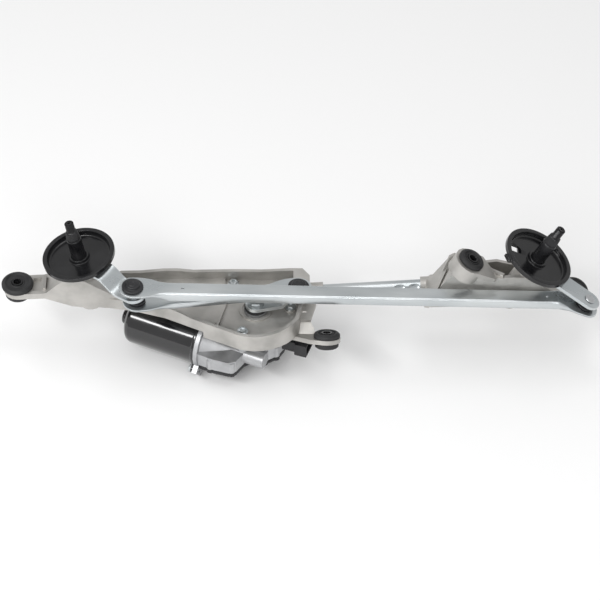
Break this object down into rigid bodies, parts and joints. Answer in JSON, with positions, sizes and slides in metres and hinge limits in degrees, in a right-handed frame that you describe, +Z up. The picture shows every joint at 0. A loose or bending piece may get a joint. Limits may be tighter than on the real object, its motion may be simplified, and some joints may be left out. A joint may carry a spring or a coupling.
{
  "type": "windshield wiper linkage with motor",
  "caption": "Windshield wiper linkage: cast brackets, cross tube, geared motor, crank, channel links, levers and two wiper pivots with shields.",
  "frame": {"origin": "centre of the underside of the left mounting grommet, where its bolt passes", "axes": "+X along the linkage towards the right pivot, +Y away from the viewer towards the back of the brackets, +Z up, square to the tray that the motor hangs under"},
  "size_m": [0.653, 0.1172, 0.1826],
  "materials": {
    "casting": "as-cast matt aluminium, warm grey, fine grain",
    "gear_casting": "as-cast matt aluminium, cooler grey",
    "zinc_plate": "bright zinc plating with a bluish tone",
    "bare_steel": "turned steel",
    "black_steel": "black passivated steel",
    "black_paint": "gloss black paint",
    "shield_plastic": "satin black moulded plastic",
    "black_plastic": "matt black moulded plastic",
    "rubber": "black rubber",
    "bronze": "sintered bronze",
    "copper": "copper segments",
    "carbon": "pressed carbon",
    "ferrite": "ferrite",
    "gear_nylon": "natural nylon"
  },
  "bodies": {
    "root": {"left_bracket": "casting", "right_bracket": "casting", "gear_housing": "gear_casting", "cross_tube": "zinc_plate", "motor_screw_1": "zinc_plate", "motor_screw_2": "zinc_plate", "motor_screw_3": "zinc_plate", "yoke_screw_1": "zinc_plate", "yoke_screw_2": "zinc_plate", "left_mount_sleeve": "black_steel", "fork_mount_sleeve": "black_steel", "right_inner_mount_sleeve": "black_steel", "right_outer_mount_sleeve": "black_steel", "motor_yoke": "black_paint", "gear_cover": "black_plastic", "connector": "black_plastic", "brush_holder": "black_plastic", "left_mount_grommet": "rubber", "fork_mount_grommet": "rubber", "right_inner_mount_grommet": "rubber", "right_outer_mount_grommet": "rubber", "output_seal": "rubber", "cover_gasket": "rubber", "left_upper_bush": "bronze", "left_lower_bush": "bronze", "right_upper_bush": "bronze", "right_lower_bush": "bronze", "output_bush": "bronze", "rear_bush": "bronze", "brush_1": "carbon", "brush_2": "carbon", "magnet_1": "ferrite", "magnet_2": "ferrite"},
    "left_pivot": {"left_pivot_shaft": "black_steel", "left_cup": "shield_plastic", "left_lever": "zinc_plate", "left_circlip": "bare_steel", "left_upper_ball_stud": "bare_steel", "left_lower_ball_stud": "bare_steel"},
    "right_pivot": {"right_pivot_shaft": "black_steel", "right_cup": "shield_plastic", "right_lever": "zinc_plate", "right_circlip": "bare_steel", "right_lever_rivet": "bare_steel"},
    "crank": {"crank_arm": "zinc_plate", "crank_nut": "zinc_plate", "output_shaft": "bare_steel", "worm_wheel": "gear_nylon"},
    "short_link": {"short_link": "zinc_plate", "short_link_lever_socket": "black_plastic", "short_link_crank_socket": "black_plastic", "short_link_ball_stud": "bare_steel"},
    "long_link": {"long_link": "zinc_plate", "long_link_left_socket": "black_plastic", "long_link_right_socket": "black_plastic", "long_link_right_ball_stud": "bare_steel", "long_link_right_boot": "rubber"},
    "armature": {"armature_core": "bare_steel", "armature_shaft": "bare_steel", "commutator": "copper"}
  },
  "joints": [
    {"name": "armature_spin", "type": "hinge", "parent": "root", "child": "armature", "pos_m": [0.2045, -0.0346, -0.038], "axis": [0.9092, -0.4163, 0], "range_deg": [0, 8640]},
    {"name": "crank_turn", "type": "hinge", "parent": "root", "child": "crank", "pos_m": [0.2619, -0.0236, 0], "axis": [0, 0, -1], "range_deg": [0, 180]},
    {"name": "left_pivot_turn", "type": "hinge", "parent": "root", "child": "left_pivot", "pos_m": [0.071, -0.0014, 0.0551], "axis": [0.1736, 0, -0.9848], "range_deg": [0, 80.61]},
    {"name": "right_pivot_turn", "type": "hinge", "parent": "root", "child": "right_pivot", "pos_m": [0.5648, -0.0141, 0.0636], "axis": [-0.4695, 0, -0.8829], "range_deg": [0, 100.96]},
    {"name": "short_link_ball", "type": "hinge", "parent": "left_pivot", "child": "short_link", "pos_m": [0.13361, -0.04823, 0.03664], "axis": [-0.1156, -0.0412, 0.9924], "range_deg": [0, 80.92]},
    {"name": "long_link_ball", "type": "hinge", "parent": "left_pivot", "child": "long_link", "pos_m": [0.12988, -0.04823, 0.05781], "axis": [-0.086, -0.065, 0.9942], "range_deg": [0, 78.46]}
  ],
  "couplings": [
    {"joint": "crank_turn", "follows": "armature_spin", "ratio": 0.020833},
    {"joint": "left_pivot_turn", "follows": "armature_spin", "ratio": 0.0093294},
    {"joint": "right_pivot_turn", "follows": "armature_spin", "ratio": 0.011685},
    {"joint": "short_link_ball", "follows": "armature_spin", "ratio": 0.0093654},
    {"joint": "long_link_ball", "follows": "armature_spin", "ratio": 0.0090804}
  ]
}
